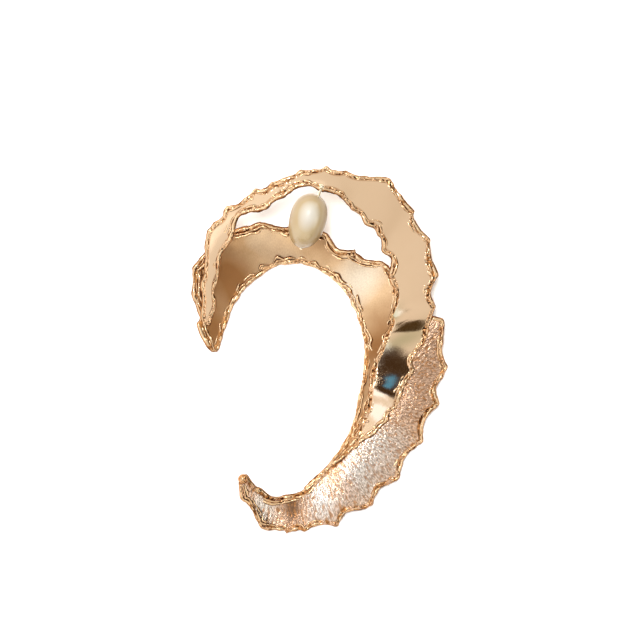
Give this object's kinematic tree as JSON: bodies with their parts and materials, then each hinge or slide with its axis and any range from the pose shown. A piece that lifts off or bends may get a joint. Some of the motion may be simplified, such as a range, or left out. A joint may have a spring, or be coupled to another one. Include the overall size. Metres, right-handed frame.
{
  "type": "ear cuff",
  "caption": "Crescent ear cuff of three overlapping jagged gold sheets with melted rims, and a pearl on a headed pin at its top.",
  "frame": {"origin": "under the middle of the cuff's box, on the surface that it lies on", "axes": "+Y up as worn, along the crescent's height; +X to the right seen from the front; +Z out of its front face"},
  "size_m": [0.057, 0.0818, 0.014],
  "materials": {
    "polished_gold": "mirror polished rose-yellow gold",
    "satin_gold": "satin, finely brushed",
    "textured_gold": "reticulated grain, rose tone",
    "melted_rim": "melted and beaded, darkened in its creases",
    "pale_gold": "polished pale gold",
    "pearl": "cream pearl lustre"
  },
  "bodies": {
    "root": {"cuff_frame": "polished_gold", "pearl": "pearl", "pearl_pin": "pale_gold"}
  },
  "joints": []
}
